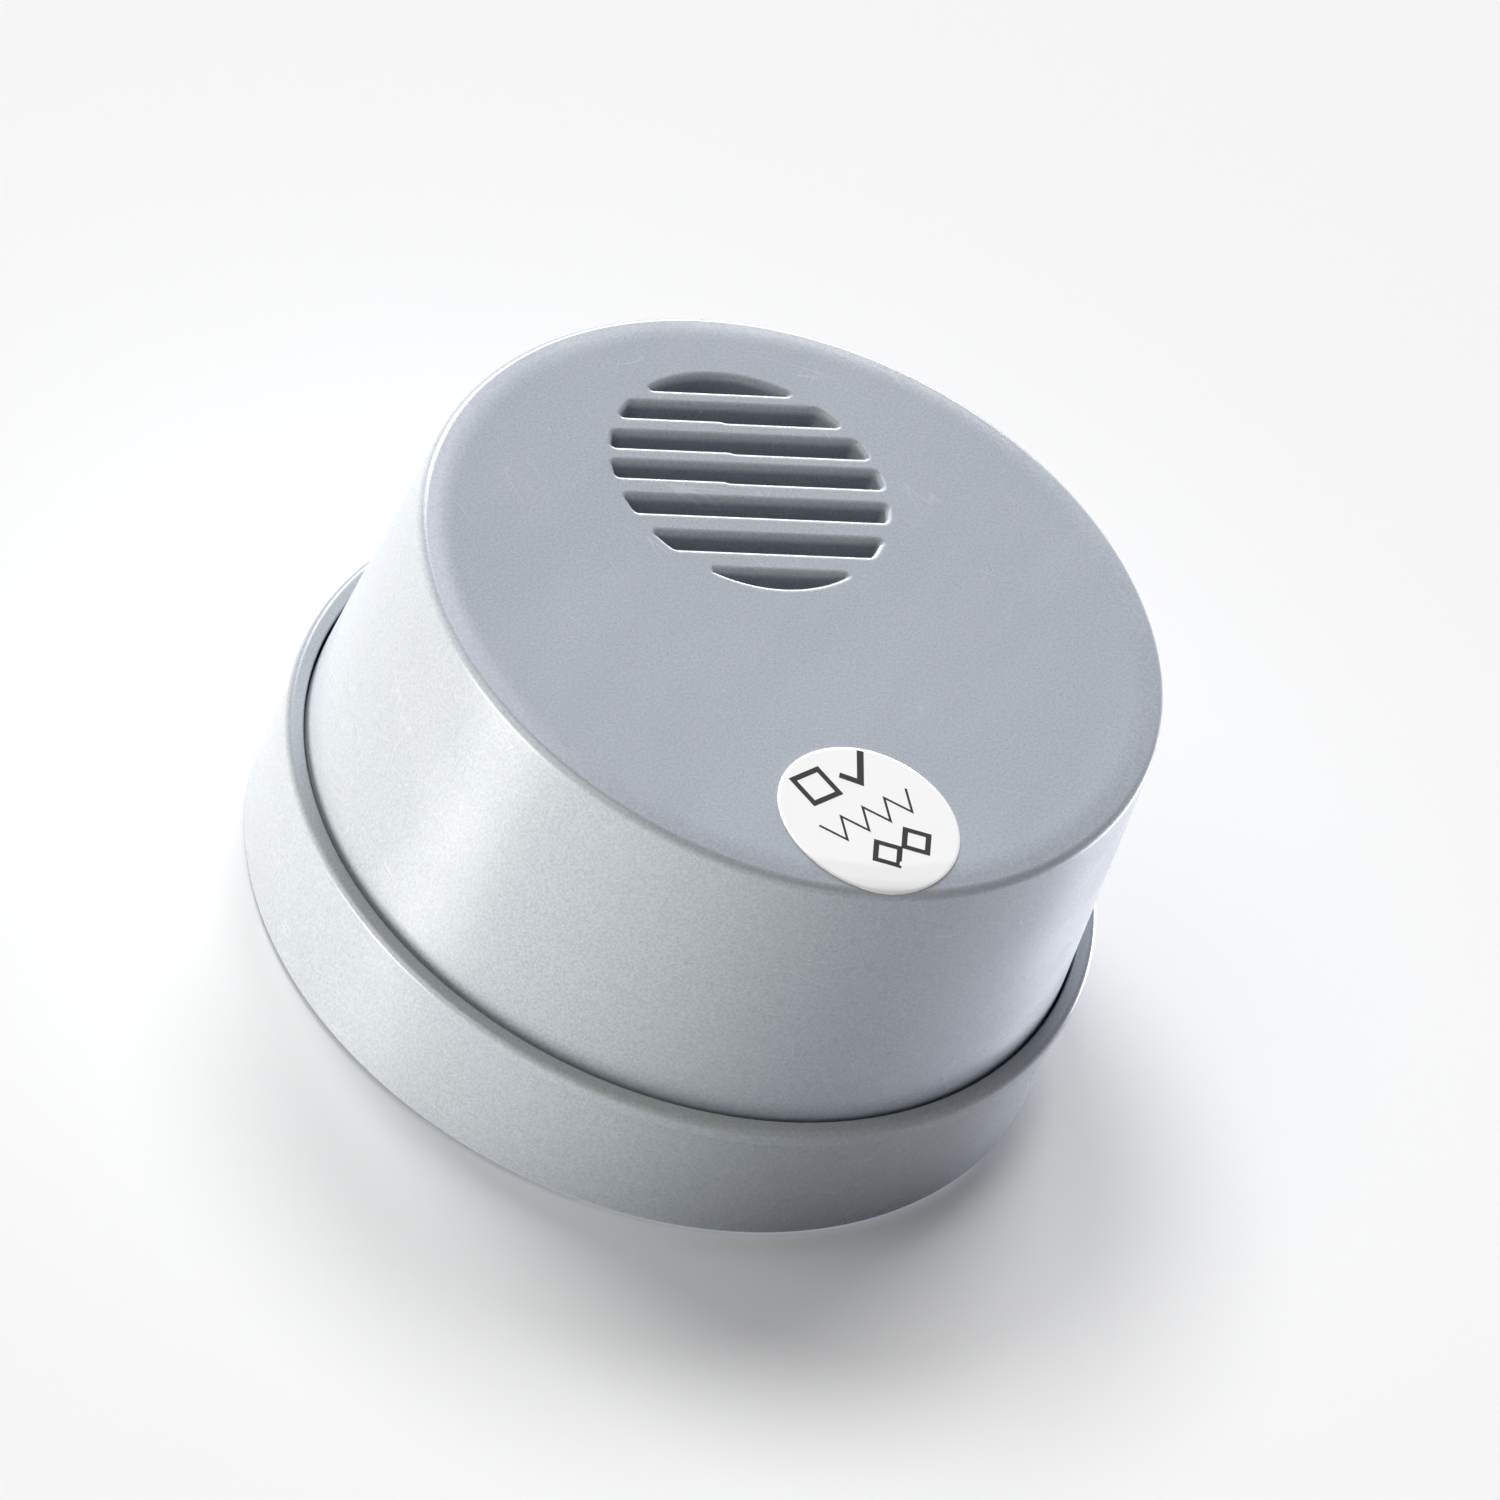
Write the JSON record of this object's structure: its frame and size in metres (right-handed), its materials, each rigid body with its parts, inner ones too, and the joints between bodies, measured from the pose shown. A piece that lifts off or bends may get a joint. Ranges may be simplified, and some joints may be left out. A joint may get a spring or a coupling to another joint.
{
  "type": "carbon monoxide detector",
  "caption": "Small round battery carbon monoxide detector: a push-to-test cap with a slotted grille slides in a collar housing on a twist-off mounting plate.",
  "frame": {"origin": "centre of the mounting face of the back plate, on the axis of the round body", "axes": "+Z out of the grille face along the body axis, +Y from the axis towards the grille, the slots run along X"},
  "size_m": [0.06, 0.06, 0.0333],
  "materials": {
    "shell_plastic": "satin moulded light grey",
    "collar_plastic": "satin moulded light grey",
    "plate_plastic": "plain moulded cream",
    "chassis_plastic": "moulded dark grey",
    "steel_screw": "zinc plated",
    "spring_steel": "drawn wire",
    "label_paper": "gloss coated",
    "mesh_fabric": "fine woven dust screen",
    "ring_plastic": "moulded grey",
    "board_laminate": "green solder mask",
    "black_plastic": "moulded black",
    "brass_plate": "bright",
    "ceramic_white": "silvered face",
    "lead_red": "insulation",
    "can_metal": "deep drawn",
    "cell_white": "porous white",
    "charcoal": "charcoal felt",
    "chip_epoxy": "moulded epoxy",
    "ferrite": "sintered",
    "chip_body": "fired",
    "led_red": "tinted lens",
    "led_green": "tinted lens",
    "led_amber": "tinted lens",
    "cell_sleeve": "shrink sleeve",
    "contact_metal": "nickel plated",
    "pad_foam": "foam with a peel-off liner"
  },
  "bodies": {
    "mounting_plate": {"back_plate": "plate_plastic", "plate_pad": "pad_foam"},
    "housing": {"collar": "collar_plastic", "chassis": "chassis_plastic", "chassis_screws": "steel_screw", "circuit_board": "board_laminate", "board_screws": "steel_screw", "sounder_body": "black_plastic", "sounder_lid": "black_plastic", "piezo_plate": "brass_plate", "piezo_ceramic": "ceramic_white", "sounder_leads": "lead_red", "sensor_base": "black_plastic", "sensor_can": "can_metal", "sensor_cell": "cell_white", "sensor_filter": "charcoal", "switch_body": "black_plastic", "switch_cover": "contact_metal", "controller_chip": "chip_epoxy", "driver_chip": "chip_epoxy", "step_up_coil": "ferrite", "storage_capacitor": "can_metal", "chip_parts": "chip_body", "alarm_led": "led_red", "power_led": "led_green", "fault_led": "led_amber", "battery_cell": "cell_sleeve", "battery_terminal": "contact_metal", "contact_plate": "contact_metal", "contact_spring": "contact_metal"},
    "cap": {"front_cap": "shell_plastic", "cap_guide_screws": "steel_screw", "inspection_label": "label_paper", "dust_mesh": "mesh_fabric", "mesh_ring": "ring_plastic", "cap_return_springs": "spring_steel"},
    "plunger": {"switch_plunger": "ring_plastic"}
  },
  "joints": [
    {"name": "housing_twist", "type": "hinge", "parent": "mounting_plate", "child": "housing", "pos_m": [0, 0, 0], "axis": [0, 0, 1], "range_deg": [0, 30]},
    {"name": "cap_press", "type": "slide", "parent": "housing", "child": "cap", "axis": [0, 0, -1], "range_m": [0, 0.0007], "stiffness_N_per_m": 2500, "springref_m": -0.0012, "deforming": ["cap_return_springs"]},
    {"name": "switch_press", "type": "slide", "parent": "housing", "child": "plunger", "axis": [0, 0, -1], "range_m": [0, 0.0007]}
  ],
  "couplings": [
    {"joint": "switch_press", "follows": "cap_press", "ratio": 1}
  ]
}
